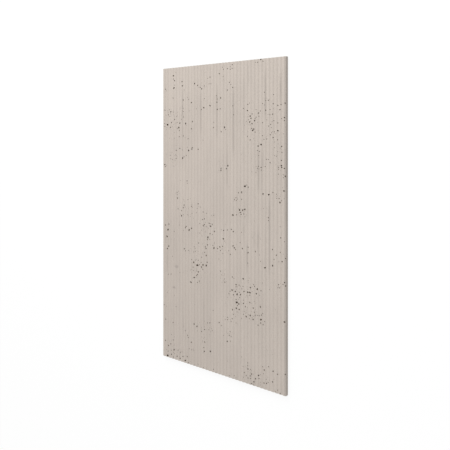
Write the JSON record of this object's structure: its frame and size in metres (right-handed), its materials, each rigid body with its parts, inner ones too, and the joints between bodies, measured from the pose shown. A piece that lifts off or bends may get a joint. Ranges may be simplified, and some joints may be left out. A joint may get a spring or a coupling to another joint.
{
  "type": "ribbed concrete wall panel",
  "caption": "Thin one-piece concrete wall panel with a face of narrow parallel rounded ribs and a flat back, for cladding a wall.",
  "frame": {"origin": "centre of the flat back face, on the surface that the panel lies on", "axes": "+Z is the outward normal of the ribbed face, +Y runs along the ribs towards the end that is up when the panel is hung, +X runs across the ribs"},
  "size_m": [0.6, 1.2, 0.016],
  "materials": {
    "concrete": "matt taupe-grey cast concrete with scattered air pores"
  },
  "bodies": {
    "root": {"concrete_panel": "concrete"}
  },
  "joints": []
}
